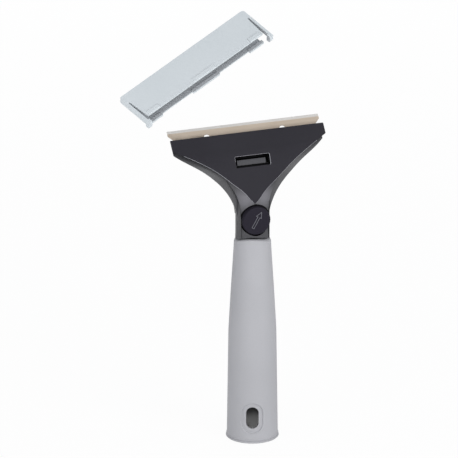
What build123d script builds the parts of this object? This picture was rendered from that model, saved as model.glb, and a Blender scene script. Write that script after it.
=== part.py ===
from build123d import *

import math
import os

# Ceramic hob scraper: a clamped blade on a bent head, a round handle that also takes a pole,
# and a clip-on blade cover that lies off the tool.
# Millimetres. The handle's axis is +Z with the open end at z = 0; the front of the tool is -Y.

os.makedirs("parts", exist_ok=True)

# Shared clearances
overrun = 60.0
seat_gap = 0.3
slide_play = 0.05
turn_play = 0.15
fine_round = 0.4

# Handle
sleeve_length = 130.2
end_radius = 16.0
waist_radius = 15.0
collar_radius = 11.85
rim_radius = 11.6
waist_blend = 150.0
collar_blend = 150.0
lip_radius = 16.55
lip_height = 2.6
lip_crest_share = 0.65
sleeve_wall = 2.2
sleeve_rim_round = 1.0
rim_arch_rise = 3.5
grip_turn = 20.0
waist_height_share = 0.549
collar_height_share = 0.979

# Pole socket and handle core
socket_radius = 12.0
socket_length = 42.0
core_drop = 3.7
core_taper_gap = 2.0

# Lock hole, cut through the front wall only
lock_hole_width = 7.8
lock_hole_length = 14.2
lock_hole_height = 16.5
lock_dish_width = 12.3
lock_dish_length = 19.6
lock_dish_depth = 1.1

# Neck and tang
neck_radius = 10.7
spigot_radius = 9.2
groove_height = 0.7
tang_radius = 7.7
tang_length = 38.0
tang_rib = 1.6
tang_lead = 1.2
tang_pin_radius = 1.5
tang_pin_drop = 18.0

# Bent face of the front jaw, in the side view
face_depth_at_neck = 5.3
face_depth_at_rim = 9.5
apex_gap = 0.35
face_lean = 5.0
head_bend = 40.0
bend_radius = 32.0
bend_rise = 26.2
slope_length = 21.3
jaw_thickness = 3.5

# Head outlines, in the front view
head_half = 50.8
short_side = 7.2
corner_round = 0.6
v_across_shares = (0.846, 0.677, 0.469, 0.276, 0.185, 0.065)
v_up_shares = (0.90, 0.784, 0.603, 0.376, 0.27, 0.08)
rim_drop = 2.7
end_draft = 20.0
flare_drop = 14.0
flank_across_shares = (0.815, 0.569, 0.362, 0.182, 0.058, 0.004)
flank_up_shares = (0.899, 0.777, 0.6375, 0.474, 0.2995, 0.153)

# Front jaw's neck and shoulder lobes
front_neck_half = 9.2
cheek_gap = 0.2
cheek_top_gap = 5.0
neck_across_shares = (1.0, 1.0, 1.065)
neck_up_shares = (0.0, 0.66, 1.0)
lobe_across_shares = (1.065, 1.18, 1.37, 1.62, 1.87)
lobe_up_shares = (0.0, 0.24, 0.48, 0.71, 1.0)
lobe_rise_share = 0.4
apex_step = 0.15
lobe_edge_at_rim = 4.9
lobe_fall = 1.65
jaw_edge_round = 0.35

# Rear jaw's back
rear_plate = 2.4
cover_land = 14.0
wing_depth = 5.2
wing_inset = 2.4
wing_wall = 2.0
wing_rib = 1.8
wing_rib_across_shares = (0.36, 0.56, 0.76)
boss_across_shares = (1.0, 1.0, 1.45, 1.75, 1.35)
boss_up_shares = (0.0, 0.4, 0.66, 0.86, 1.0)
boss_back_shares = (1.0, 1.0, 1.0, 0.93, 0.86)
boss_height_share = 0.743
rim_round = 1.1

# Window and lug
window_half = 11.3
window_drop = 12.3
window_height = 6.3
window_round = 0.5
lug_half = 9.4
lug_height = 2.9
lug_rise = 0.3
lug_inset = 3.2
lug_pocket_depth = 2.0

# Blade
blade_length = 100.2
blade_width = 14.4
blade_thickness = 0.5
blade_reach = 7.6
blade_end = 3.4
blade_chamfer = 4.4
blade_grind = 1.9
blade_edge_thickness = 0.08
blade_hole_radius = 2.1
blade_hole_offset = 25.0
blade_hole_from_edge = 7.1
blade_seat_depth = 0.25

# Clamp screw group, along the neck's front normal
knob_to_rim = 1.55
knob_radius = 9.1
knob_face_depth = 8.2
knob_thickness = 3.9
knob_edge_round = 0.5
knob_rib_count = 48
knob_rib_width = 0.45
knob_rib_depth = 0.2
pointer_length = 9.6
pointer_width = 1.5
pointer_head = 3.6
pointer_rise = 0.3
pointer_turn = 30.0
recess_radius = 9.95
washer_thickness = 0.4
washer_radius = 7.2
insert_radius = 4.0
insert_cap = 1.2
insert_length = 9.4
ring_thickness = 0.8
ring_radius = 5.4
ring_groove_depth = 0.7
jaw_boss_radius = 8.4
jaw_boss_depth = 1.0
stud_radius = 3.0
stud_flange_radius = 5.5
stud_flange_thickness = 2.0
stud_flange_depth = 6.0
stud_tip_gap = 0.6
ring_pocket_depth = 3.4

# Blade cover, in its own directions: length, towards the mouth, and up from its top face
cover_length = 105.2
cover_width = 22.3
cover_height = 8.6
cover_wall = 1.0
cover_back_wall = 1.3
cover_arm = 1.7
cover_arm_height = 3.2
cover_arm_reach = 5.2
cover_inset = 4.8
cover_slit = 0.9
cover_slit_mouth = 2.2
cover_slit_length = 15.4
cover_corner = 2.0
cover_tab_lip = 1.3
cover_tab_rise = 0.7
cover_tab_length = 11.6
cover_mid_tab_length = 22.2
cover_tab_offset = 42.8
cover_pad_rise = 0.35
cover_pad_width = 3.2
cover_pad_share = 0.8
cover_hook = 1.0
cover_hook_length = 3.0
cover_hook_height = 5.4
cover_hook_round = 1.4
cover_across = -39.0
cover_depth = 0.0
cover_up = 250.6
cover_length_direction = Vector(0.886, 0.309, 0.344)
cover_mouth_direction = Vector(0.434, -0.8125, -0.389)

# Derived heights and angles
head_turn = math.radians(head_bend)
lean_turn = math.radians(face_lean)
draft_turn = math.radians(end_draft)
front_face = -face_depth_at_neck
rim_top = sleeve_length + rim_arch_rise
rim_foot = sleeve_length - rim_arch_rise
arch_radius = (rim_radius**2 + rim_arch_rise**2) / (2 * rim_arch_rise)
arch_centre = rim_top - arch_radius
along = Vector(0, math.sin(head_turn), math.cos(head_turn))
behind = Vector(0, math.cos(head_turn), -math.sin(head_turn))
screw_height = rim_top + knob_to_rim + recess_radius
apex_height = screw_height + recess_radius + apex_gap
flare_height = apex_height - flare_drop
bend_point = Vector(0, front_face + bend_rise * math.tan(lean_turn), apex_height + bend_rise)
edge_point = bend_point + along * slope_length
edge_depth = edge_point.Y
edge_height = edge_point.Z
window_high = edge_height - window_drop
window_low = window_high - window_height
lobe_rise = lobe_rise_share * (edge_height - apex_height)
boss_height = boss_height_share * (edge_height - rim_foot)
core_top = sleeve_length - core_drop
core_mid = core_top - tang_length - core_taper_gap
corner_height = edge_height - short_side * math.cos(head_turn)
rear_corner_height = corner_height - rim_drop
jaw_back = jaw_thickness
rear_front = jaw_thickness + seat_gap
grip_frame = Rotation(0, 0, -grip_turn)


def bend_points(offset):
    """Corners of the bent face, moved back by offset, as (depth, height) pairs."""
    neck_depth = front_face + offset
    lean_foot = (front_face + offset * math.cos(lean_turn), apex_height - offset * math.sin(lean_turn))
    tip_depth = edge_depth + offset * math.cos(head_turn)
    tip_height = edge_height - offset * math.sin(head_turn)
    lean_slope = math.tan(lean_turn)
    head_slope = math.tan(head_turn)
    level = tip_depth - lean_foot[0] + lean_foot[1] * lean_slope - tip_height * head_slope
    bend_height = level / (lean_slope - head_slope)
    bend_depth = lean_foot[0] + (bend_height - lean_foot[1]) * lean_slope
    foot_height = lean_foot[1] + (neck_depth - lean_foot[0]) / lean_slope
    return (neck_depth, foot_height), (bend_depth, bend_height), (tip_depth, tip_height)


def face_depth(height, offset):
    """Depth of the bent face at one height, with the bend taken as a sharp corner."""
    foot, bend, tip = bend_points(offset)
    if height <= foot[1]:
        return foot[0]
    if height <= bend[1]:
        return foot[0] + (height - foot[1]) * math.tan(lean_turn)
    return bend[0] + (height - bend[1]) * math.tan(head_turn)


def side_slab(near, far, low, half, rise=0.0):
    """Plate between two offsets of the bent face, as wide as twice half."""
    chains = []
    for offset in (near, far):
        foot, bend, tip = bend_points(offset)
        tip_up = (tip[0] + rise * math.sin(head_turn), tip[1] + rise * math.cos(head_turn))
        start = (foot[0], low)
        radius = bend_radius - offset
        chains.append(FilletPolyline(start, foot, bend, tip_up, radius=[0, radius]))
    front, back = chains
    ends = [Line(front @ 1, back @ 1), Line(front @ 0, back @ 0)]
    section = make_face(front.edges() + back.edges() + ends)
    return extrude(Plane.YZ * section, amount=half, both=True)


def rounded_slab(near, far, low):
    """Full-width plate between two offsets, with its top corners rounded."""
    slab = side_slab(near, far, low, head_half)
    square_edges = slab.edges().filter_by(Axis((0, 0, 0), (0, behind.Y, behind.Z)))
    return fillet(square_edges.group_by(Axis.Z)[-1], corner_round)


def front_space(offset, low, rise):
    """Everything before the bent face at an offset, from a low height to a rise over the edge."""
    foot, bend, tip = bend_points(offset)
    tip_up = (tip[0] + rise * math.sin(head_turn), tip[1] + rise * math.cos(head_turn))
    face = FilletPolyline((foot[0], low), foot, bend, tip_up, radius=[0, bend_radius - offset])
    before = [Line(tip_up, (-overrun, tip_up[1])), Line((-overrun, tip_up[1]), (-overrun, low))]
    before.append(Line((-overrun, low), (foot[0], low)))
    section = make_face(face.edges() + before)
    return extrude(Plane.YZ * section, amount=overrun, both=True)


def front_prism(smooth, top, foot_half, foot):
    """Prism along the depth whose half outline runs from the top corner down to the foot."""
    low_corner = smooth[0]
    right = [Line((head_half, top), low_corner), Spline(*smooth), Line(smooth[-1], (foot_half, foot))]
    if foot_half > 0:
        right.append(Line((foot_half, foot), (0, foot)))
    left = [mirror(edge, about=Plane.YZ) for edge in right]
    cap = Line((-head_half, top), (head_half, top))
    outline = make_face([piece.edge() for piece in right + left] + [cap])
    return extrude(Plane.XZ * outline, amount=overrun, both=True)


def v_outline(top):
    """Outline of the front jaw's V face."""
    rise = corner_height - apex_height
    smooth = [(head_half, corner_height)]
    for across, up in zip(v_across_shares, v_up_shares):
        smooth.append((across * head_half, apex_height + up * rise))
    return front_prism(smooth, top, 0, apex_height - seat_gap)


def flank_outline(top, inset=0.0):
    """Outline of the rear jaw's rim, which stands out below the V face."""
    flare = head_half - neck_radius
    rise = rear_corner_height - flare_height
    smooth = [(head_half - inset, rear_corner_height)]
    for across, up in zip(flank_across_shares, flank_up_shares):
        smooth.append((neck_radius + across * flare, flare_height + up * rise))
    smooth.append((neck_radius, flare_height))
    return front_prism(smooth, top, neck_radius, arch_centre)


def along_depth(radius, front, back, height=None):
    """Round body about the clamp screw's axis, from one depth to another."""
    level = screw_height if height is None else height
    return Pos(0, (front + back) / 2, level) * Rot(90, 0, 0) * Cylinder(radius, back - front)


def rim_arch(clearance):
    """Body under the handle's arched rim, raised by a clearance."""
    reach = arch_radius + clearance
    arch = Pos(0, 0, arch_centre) * Rot(90, 0, 0) * Cylinder(reach, 2 * overrun)
    base = Pos(0, 0, arch_centre - overrun) * Box(2 * overrun, 2 * overrun, 2 * overrun)
    return grip_frame * (arch + base)


def arc_section(half, crown, edge, height):
    """Level section: a chord with an arc over it."""
    bow = ThreePointArc((-half, edge), (0, crown), (half, edge))
    chord = Line((half, edge), (-half, edge))
    return Pos(0, 0, height) * make_face([bow.edge(), chord.edge()])


def walled_section(half, crown, edge, back, height):
    """Level section: an arc on two straight side walls."""
    bow = ThreePointArc((-half, edge), (0, crown), (half, edge))
    walls = Polyline((half, edge), (half, back), (-half, back), (-half, edge))
    return Pos(0, 0, height) * make_face([bow.edge()] + walls.edges())


def end_wedges():
    """Space beyond the head's drafted ends, which narrow from the front face backwards."""
    wedges = []
    for way in (-1, 1):
        slant = Vector(way * math.cos(draft_turn), behind.Y * math.sin(draft_turn), behind.Z * math.sin(draft_turn))
        end = Plane(origin=(way * head_half, edge_depth, edge_height), x_dir=along, z_dir=slant)
        wedges.append(end * Pos(0, 0, overrun / 2) * Box(2 * overrun, 2 * overrun, overrun))
    return wedges[0] + wedges[1]


def neck_body(growth, reach):
    """Neck and shoulder lobes of the front jaw, widened by a growth and brought forwards by a reach."""
    apex_crown = face_depth(apex_height, apex_step)
    apex_edge = apex_crown + lobe_fall
    neck_sections = []
    for across, up in zip(neck_across_shares, neck_up_shares):
        crown = -face_depth_at_rim + up * (apex_crown + face_depth_at_rim) - reach
        edge = -lobe_edge_at_rim + up * (apex_edge + lobe_edge_at_rim) - reach
        half = across * front_neck_half + growth
        height = rim_foot + up * (apex_height - rim_foot)
        neck_sections.append(walled_section(half, crown, edge, neck_radius, height))
    lobe_sections = []
    for across, up in zip(lobe_across_shares, lobe_up_shares):
        half = across * front_neck_half + growth
        height = apex_height + up * lobe_rise
        crown = face_depth(height, apex_step) - reach
        lobe_sections.append(walled_section(half, crown, crown + lobe_fall, neck_radius, height))
    return loft(neck_sections, ruled=True) + loft(lobe_sections)


def make_front_jaw():
    """Front jaw: bent plate with the V face, window, lobes, knob recess and key boss."""
    plate = rounded_slab(0, jaw_back, apex_height - seat_gap) & v_outline(edge_height + short_side)
    foot = rim_foot
    neck_back = front_face + jaw_back
    jaw = plate + (neck_body(0, 0) & front_space(jaw_back, foot - overrun, overrun))
    jaw += along_depth(jaw_boss_radius, neck_back - slide_play, jaw_boss_depth)
    recess_floor = -knob_face_depth + knob_thickness + washer_thickness
    jaw -= along_depth(recess_radius, -overrun, recess_floor)
    jaw -= along_depth(insert_radius + turn_play, -overrun, overrun)
    window = Box(2 * window_half, overrun, window_high - window_low)
    window = fillet(window.edges().filter_by(Axis.Y), window_round)
    jaw -= Pos(0, 0, (window_low + window_high) / 2) * window
    jaw -= rim_arch(groove_height)
    return jaw - end_wedges()


def make_rear_jaw():
    """Rear jaw: rim plate, ribbed wings, round neck, groove spigot and tang in one moulding."""
    flank = flank_outline(edge_height + short_side)
    foot = rim_foot
    plate_back = rear_front + rear_plate
    plate = rounded_slab(rear_front, plate_back, foot) & flank
    wing = side_slab(rear_front, rear_front + wing_depth, foot, head_half - wing_inset)
    wing &= Pos(0, 0, wing_inset) * flank
    land_low = edge_point - along * cover_land
    land = Pos(0, land_low.Y, land_low.Z) * Rot(head_bend * -1, 0, 0)
    land_cut = land * Pos(0, 0, overrun / 2) * Box(3 * overrun, 3 * overrun, overrun)
    wing -= land_cut
    tray = side_slab(plate_back, plate_back + wing_depth, foot, head_half - wing_inset - wing_wall)
    tray &= Pos(0, 0, wing_inset + wing_wall) * flank
    tray -= land * Pos(0, 0, overrun / 2 - wing_wall) * Box(3 * overrun, 3 * overrun, overrun)
    for share in wing_rib_across_shares:
        for way in (-1, 1):
            rib = Box(wing_rib, 4 * overrun, 4 * overrun)
            tray -= Pos(way * share * head_half, 0, edge_height) * rib
    wing -= tray
    sections = []
    for across, up, back in zip(boss_across_shares, boss_up_shares, boss_back_shares):
        height = foot + up * boss_height
        chord = face_depth(height, rear_front) + rear_plate / 2
        sections.append(arc_section(across * (neck_radius - fine_round), back * neck_radius, chord, height))
    boss = loft(sections)
    cheek_top = apex_height + cheek_top_gap
    neck = Pos(0, 0, foot) * Cylinder(neck_radius, cheek_top - foot, align=(Align.CENTER, Align.CENTER, Align.MIN))
    neck -= neck_body(cheek_gap, neck_radius) & front_space(rear_front, foot - overrun, overrun)
    jaw = plate + wing + boss + neck
    jaw -= rim_arch(groove_height)
    spigot_foot = core_top + seat_gap
    spigot_height = rim_top - spigot_foot
    spigot = Pos(0, 0, spigot_foot) * Cylinder(
        spigot_radius, spigot_height, align=(Align.CENTER, Align.CENTER, Align.MIN)
    )
    front_cut = front_space(rear_front, foot - overrun, overrun) - rim_arch(groove_height / 2)
    jaw += spigot - front_cut
    tang_foot = core_top - tang_length
    tang = Pos(0, 0, tang_foot) * Cylinder(
        tang_radius, spigot_foot - tang_foot, align=(Align.CENTER, Align.CENTER, Align.MIN)
    )
    tang = chamfer(tang.edges().group_by(Axis.Z)[0], tang_lead)
    jaw += tang
    pin_height = core_top - tang_pin_drop
    jaw -= grip_frame * Pos(0, 0, pin_height) * Rot(0, 90, 0) * Cylinder(tang_pin_radius, 2 * overrun)
    jaw -= along_depth(jaw_boss_radius + seat_gap, -overrun, jaw_boss_depth + seat_gap)
    jaw -= along_depth(ring_radius + 2 * seat_gap, 0, ring_pocket_depth)
    jaw -= along_depth(stud_radius, 0, stud_flange_depth)
    jaw -= along_depth(stud_flange_radius, stud_flange_depth, stud_flange_depth + stud_flange_thickness)
    jaw -= blade_seat()
    level = Pos(0, 0, (window_low + window_high) / 2) * Box(2 * window_half, 4 * overrun, window_height)
    pocket_floor = rear_front + lug_pocket_depth
    jaw -= side_slab(rear_front - seat_gap, pocket_floor, foot, window_half) & level
    lug = side_slab(lug_inset, pocket_floor + rear_plate / 4, foot, lug_half)
    lug &= Pos(0, 0, window_low + lug_rise + lug_height / 2) * Box(2 * lug_half, 4 * overrun, lug_height)
    return jaw + lug - end_wedges()


def blade_frame():
    """Plane on the rear jaw's front, at the jaws' top edge: x across, y up the blade, z forwards."""
    origin = edge_point + behind * rear_front
    return Plane(origin=origin, x_dir=(1, 0, 0), z_dir=(0, -behind.Y, -behind.Z))


def blade_outline(growth):
    """Blade seen from the front, with its cutting edge at the blade's reach over the jaws."""
    half = blade_length / 2 + growth
    tail_half = half - blade_chamfer
    edge = blade_reach
    end = edge - blade_end
    shoulder = end - blade_chamfer
    tail = edge - blade_width - growth
    right = [(half, edge), (half, end), (tail_half, shoulder), (tail_half, tail)]
    left = [(-x, y) for x, y in reversed(right)]
    return make_face(Polyline(*right, *left, close=True).edges())


def blade_seat():
    """Shallow pocket that the blade lies in."""
    sketch = blade_frame() * blade_outline(slide_play)
    depth = extrude(sketch, amount=-blade_seat_depth)
    return depth + extrude(sketch, amount=blade_seat_depth)


def make_blade():
    """Steel blade with a ground edge and two round holes."""
    seat = blade_frame().offset(-blade_seat_depth)
    blade = extrude(seat * blade_outline(0), amount=blade_thickness)
    for way in (-1, 1):
        spot = Pos(way * blade_hole_offset, blade_reach - blade_hole_from_edge, 0)
        blade -= seat * spot * Cylinder(blade_hole_radius, 4 * blade_thickness)
    drop = blade_thickness - blade_edge_thickness
    wedge_points = [(blade_reach - blade_grind, blade_thickness), (blade_reach, blade_edge_thickness)]
    wedge_points += [(blade_reach + drop, blade_edge_thickness), (blade_reach + drop, 2 * blade_thickness)]
    wedge_points += [(blade_reach - blade_grind, 2 * blade_thickness)]
    wedge = make_face(Polyline(*wedge_points, close=True).edges())
    wedge_body = extrude(Plane.YZ * wedge, amount=blade_length, both=True)
    return blade - seat * wedge_body


def make_knob():
    """Clamp knob: ribbed rim, flat face with a raised pointer, bore for the insert."""
    face = -knob_face_depth
    back = face + knob_thickness
    knob = along_depth(knob_radius, face, back)
    knob = chamfer(knob.edges().group_by(Axis.Y)[0], knob_edge_round)
    groove = Box(knob_rib_width, 2 * overrun, 2 * knob_rib_depth)
    for index in range(knob_rib_count):
        turn = 360 * index / knob_rib_count
        knob -= Pos(0, 0, screw_height) * Rot(0, turn, 0) * Pos(0, 0, knob_radius) * groove
    shaft = Box(pointer_width, 2 * pointer_rise, pointer_length)
    tip_points = [(-pointer_head / 2, 0), (pointer_head / 2, 0), (0, pointer_head)]
    tip = extrude(Plane.XZ * make_face(Polyline(*tip_points, close=True).edges()), amount=pointer_rise, both=True)
    pointer = shaft + Pos(0, 0, pointer_length / 2 - pointer_width) * tip
    knob += Pos(0, face, screw_height) * Rot(0, pointer_turn, 0) * pointer
    knob -= along_depth(insert_radius, face + insert_cap, overrun)
    return knob


def make_insert():
    """Threaded bush of the knob, with a blind bore and a groove for the retaining ring."""
    start = -knob_face_depth + insert_cap
    end = start + insert_length
    bush = along_depth(insert_radius, start, end)
    bush -= along_depth(stud_radius + slide_play, start + insert_cap, end)
    groove = along_depth(insert_radius + ring_groove_depth, jaw_boss_depth, jaw_boss_depth + ring_thickness)
    groove -= along_depth(insert_radius - ring_groove_depth / 2, jaw_boss_depth, jaw_boss_depth + ring_thickness)
    return bush - groove


def make_ring():
    """Open retaining ring in the insert's groove, behind the front jaw."""
    front = jaw_boss_depth
    back = front + ring_thickness
    ring = along_depth(ring_radius, front, back)
    ring -= along_depth(insert_radius - ring_groove_depth / 2, front - seat_gap, back + seat_gap)
    gap = Pos(0, front, screw_height + ring_radius) * Box(insert_radius, overrun, ring_radius)
    return ring - gap


def make_washer():
    """Flat washer between the knob and the floor of its recess."""
    front = -knob_face_depth + knob_thickness
    back = front + washer_thickness
    washer = along_depth(washer_radius, front, back)
    return washer - along_depth(insert_radius + turn_play, front - seat_gap, back + seat_gap)


def make_stud():
    """Stud with a flange that is moulded into the neck."""
    tip = -knob_face_depth + 2 * insert_cap + stud_tip_gap
    flange_back = stud_flange_depth + stud_flange_thickness
    shank = along_depth(stud_radius, tip, flange_back)
    shank = chamfer(shank.edges().group_by(Axis.Y)[0], stud_radius / 4)
    return shank + along_depth(stud_flange_radius, stud_flange_depth, flange_back)


def sleeve_line(inset):
    """Outside line of the handle, drawn in by an inset: three tapers joined by long arcs."""
    waist = (waist_radius - inset, waist_height_share * sleeve_length)
    collar = (collar_radius - inset, collar_height_share * sleeve_length)
    start = (end_radius - inset, lip_height)
    end = (rim_radius - inset, rim_top + groove_height)
    return FilletPolyline(start, waist, collar, end, radius=[waist_blend, collar_blend])


def lock_hole(width, length, start, amount):
    """Upright slot cut inwards from the front of the handle."""
    slot = Rot(0, 0, 90) * SlotOverall(length, width)
    cut = extrude(Plane.XZ.offset(start) * Pos(0, lock_hole_height) * slot, amount=amount)
    return grip_frame * cut


def make_sleeve():
    """Soft skin of the handle with its end lip, arched top rim and dished lock hole."""
    outside = sleeve_line(0)
    inside = sleeve_line(sleeve_wall)
    lip_low = (lip_radius, fine_round)
    foot_out = (lip_radius - fine_round, 0)
    foot_in = (end_radius - sleeve_wall, 0)
    bead = ThreePointArc(outside @ 0, (lip_radius, lip_height * lip_crest_share), lip_low)
    lines = [bead, Line(lip_low, foot_out), Line(foot_out, foot_in), Line(foot_in, inside @ 0)]
    lines.append(Line(inside @ 1, outside @ 1))
    section = make_face(outside.edges() + inside.edges() + lines)
    sleeve = revolve(Plane.XZ * section, Axis.Z)
    sleeve &= rim_arch(0)
    rim_edges = sleeve.edges().filter_by_position(Axis.Z, sleeve_length - rim_arch_rise, rim_top)
    sleeve = fillet(rim_edges.sort_by(Edge.length)[-1], sleeve_rim_round)
    dish = lock_hole(lock_dish_width, lock_dish_length, end_radius - lock_dish_depth, overrun)
    hole = lock_hole(lock_hole_width, lock_hole_length, 0, overrun)
    return sleeve - dish - hole


def make_core():
    """Stiff tube under the skin: pole socket below, seat of the tang above."""
    outside = sleeve_line(sleeve_wall)
    seat = tang_radius + slide_play
    outer_foot = (end_radius - sleeve_wall, 0)
    inner_line = Polyline(
        outside @ 1,
        (seat, (outside @ 1).Y),
        (seat, core_mid),
        (socket_radius, socket_length),
        (socket_radius, 0),
        outer_foot,
        outside @ 0,
    )
    core = revolve(Plane.XZ * make_face(outside.edges() + inner_line.edges()), Axis.Z)
    top_cut = Pos(0, 0, core_top + overrun / 2) * Box(2 * overrun, 2 * overrun, overrun)
    core -= top_cut
    core -= lock_hole(lock_hole_width, lock_hole_length, 0, overrun)
    pin_height = core_top - tang_pin_drop
    core -= grip_frame * Pos(0, 0, pin_height) * Rot(0, 90, 0) * Cylinder(tang_pin_radius, 2 * overrun)
    return core


def make_pin():
    """Cross pin through the core and the tang, flush under the skin."""
    pin_height = core_top - tang_pin_drop
    half = collar_radius - sleeve_wall - seat_gap
    return grip_frame * Pos(0, 0, pin_height) * Rot(0, 90, 0) * Cylinder(tang_pin_radius, 2 * half)


def make_cover():
    """Blade cover: channel with slit end arms, hooks, tabs under the mouth and pads over it."""
    half = cover_length / 2
    mouth = cover_width / 2
    frame = Pos(0, 0, -cover_arm_height / 2) * Box(cover_length, cover_width, cover_arm_height)
    frame = fillet(frame.edges().filter_by(Axis.Z).group_by(Axis.Y)[0], cover_corner)
    under = Box(cover_length - 2 * cover_arm, cover_width, cover_arm_height)
    frame -= Pos(0, cover_back_wall, -cover_wall - cover_arm_height / 2) * under
    channel = Pos(0, 0, -cover_height / 2) * Box(cover_length - 2 * cover_inset, cover_width, cover_height)
    hollow = Box(cover_length - 2 * cover_arm, cover_width, cover_height - 2 * cover_wall)
    body = frame + channel - Pos(0, cover_back_wall, -cover_height / 2) * hollow
    root = mouth - cover_slit_length
    for way in (-1, 1):
        inner = half - cover_arm
        slit_points = [(way * inner, root), (way * inner, mouth + cover_wall)]
        slit_points += [(way * (inner - cover_slit_mouth), mouth + cover_wall), (way * (inner - cover_slit), root)]
        slit = make_face(Polyline(*slit_points, close=True).edges())
        body -= extrude(Pos(0, 0, -cover_height) * slit, amount=cover_height)
        arm = Box(cover_arm, cover_arm_reach, cover_arm_height)
        body += Pos(way * (half - cover_arm / 2), mouth + cover_arm_reach / 2, -cover_arm_height / 2) * arm
        hook = Box(cover_arm + cover_hook, cover_hook_length, cover_hook_height)
        hook = fillet(hook.edges().filter_by(Axis.X).group_by(Axis.Y)[-1], cover_hook_round)
        hook_across = half - (cover_arm + cover_hook) / 2
        hook_front = mouth + cover_arm_reach - cover_hook_length / 2
        body += Pos(way * hook_across, hook_front, -cover_hook_height / 2) * hook
    spots = [(-cover_tab_offset, cover_tab_length), (0, cover_mid_tab_length), (cover_tab_offset, cover_tab_length)]
    for across, length in spots:
        lip = Box(length, cover_tab_lip + cover_wall, cover_wall + cover_tab_rise)
        lip_up = -cover_height + (cover_wall + cover_tab_rise) / 2
        body += Pos(across, mouth + (cover_tab_lip - cover_wall) / 2, lip_up) * lip
        pad = Box(cover_pad_share * length, cover_pad_width, 2 * cover_pad_rise)
        pad = chamfer(pad.edges().group_by(Axis.Z)[-1], cover_pad_rise * cover_pad_share)
        body += Pos(across, mouth - cover_pad_width / 2, 0) * pad
    where = Plane(
        origin=(cover_across, cover_depth, cover_up),
        x_dir=-cover_length_direction,
        z_dir=cover_mouth_direction.cross(cover_length_direction),
    )
    return where * body


makers = {
    "rear_jaw": make_rear_jaw,
    "front_jaw": make_front_jaw,
    "blade": make_blade,
    "clamp_knob": make_knob,
    "knob_insert": make_insert,
    "thrust_washer": make_washer,
    "retaining_ring": make_ring,
    "clamp_stud": make_stud,
    "handle_core": make_core,
    "grip_sleeve": make_sleeve,
    "tang_pin": make_pin,
    "blade_cover": make_cover,
}

for name, maker in makers.items():
    solid = maker()
    export_step(solid, f"parts/{name}.step")
    print(name, len(solid.solids()), round(solid.volume), solid.is_valid)
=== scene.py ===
import logging
import math
from dataclasses import dataclass
from enum import Enum

import bmesh
import bpy
import numpy as np
from mathutils import Matrix, Vector


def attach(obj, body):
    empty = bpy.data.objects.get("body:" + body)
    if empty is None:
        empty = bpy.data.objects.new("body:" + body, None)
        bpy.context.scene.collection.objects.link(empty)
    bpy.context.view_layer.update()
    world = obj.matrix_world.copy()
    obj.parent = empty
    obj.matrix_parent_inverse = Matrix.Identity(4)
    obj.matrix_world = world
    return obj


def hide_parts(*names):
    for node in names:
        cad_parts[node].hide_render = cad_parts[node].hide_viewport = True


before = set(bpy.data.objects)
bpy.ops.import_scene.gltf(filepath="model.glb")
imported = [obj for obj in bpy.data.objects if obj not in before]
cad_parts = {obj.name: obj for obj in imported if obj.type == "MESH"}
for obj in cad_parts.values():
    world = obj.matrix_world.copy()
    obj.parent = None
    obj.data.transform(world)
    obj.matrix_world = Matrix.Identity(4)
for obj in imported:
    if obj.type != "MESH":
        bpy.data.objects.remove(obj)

LOG = logging.getLogger("hob_scraper")
MM = 0.001
# In metres: corners of a solid, or a worked-out skin's points at a pole, are one when they are closer.
SAME_CORNER = 0.00000002
SAME_POLE = 0.000001
# In degrees: a flatter seam of a solid is cleared, and a sharper edge of a solid or a skin stays sharp.
FLAT_ANGLE = 0.2
SHARP_ANGLE = 28.0
SKIN_ANGLE = 40.0
# In millimetres above the open end: the axis of the clamp screw.
SCREW_HEIGHT = 145.2
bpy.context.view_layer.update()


def linear(red: float, green: float, blue: float) -> tuple[float, float, float, float]:
    """Colour for a shader from the 0 to 255 values that it should show.

    Args:
        red: red, 0 to 255.
        green: green, 0 to 255.
        blue: blue, 0 to 255.

    Returns:
        The linear colour with an alpha of 1.
    """
    shown = np.array([red, green, blue]) / 255.0
    plain = np.where(shown <= 0.04045, shown / 12.92, ((shown + 0.055) / 1.055) ** 2.4)
    return (*[float(value) for value in plain], 1.0)


class Group:
    """A shader node group under construction."""

    def __init__(self, name: str) -> None:
        """Starts an empty group with its two end nodes.

        Args:
            name: the group's name.
        """
        self.tree = bpy.data.node_groups.new(name, "ShaderNodeTree")
        self.nodes = self.tree.nodes
        self.entry = self.nodes.new("NodeGroupInput")
        self.result = self.nodes.new("NodeGroupOutput")

    def takes(self, name: str, kind: str, value: object = None) -> None:
        """Adds an input socket.

        Args:
            name: the socket's name.
            kind: its type.
            value: its first value, or None for the type's own.
        """
        socket = self.tree.interface.new_socket(name, in_out="INPUT", socket_type=kind)
        if value is not None:
            socket.default_value = value

    def gives(self, name: str, kind: str) -> None:
        """Adds an output socket of a kind."""
        self.tree.interface.new_socket(name, in_out="OUTPUT", socket_type=kind)

    def link(self, start: bpy.types.NodeSocket, end: bpy.types.NodeSocket) -> None:
        """Joins two sockets."""
        self.tree.links.new(start, end)

    def noise(self, vector: bpy.types.NodeSocket, detail: float, roughness: float) -> bpy.types.Node:
        """Adds a noise texture that reads a vector.

        Args:
            vector: where the noise is read.
            detail: octaves of the noise.
            roughness: weight of the finer octaves.

        Returns:
            The noise node, whose Scale is still to be linked or set.
        """
        node = self.nodes.new("ShaderNodeTexNoise")
        node.inputs["Detail"].default_value = detail
        node.inputs["Roughness"].default_value = roughness
        self.link(vector, node.inputs["Vector"])
        return node

    def mixed(
        self, first: bpy.types.NodeSocket, second: bpy.types.NodeSocket, share: float
    ) -> bpy.types.NodeSocket:
        """Mixes two numbers, with a share for the second.

        Args:
            first: the number that most of the mix takes.
            second: the number that is mixed in.
            share: how much of the second the mix holds, 0 to 1.

        Returns:
            The mixed number's socket.
        """
        node = self.nodes.new("ShaderNodeMix")
        node.data_type = "FLOAT"
        node.inputs["Factor"].default_value = share
        self.link(first, node.inputs["A"])
        self.link(second, node.inputs["B"])
        return node.outputs["Result"]


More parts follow.
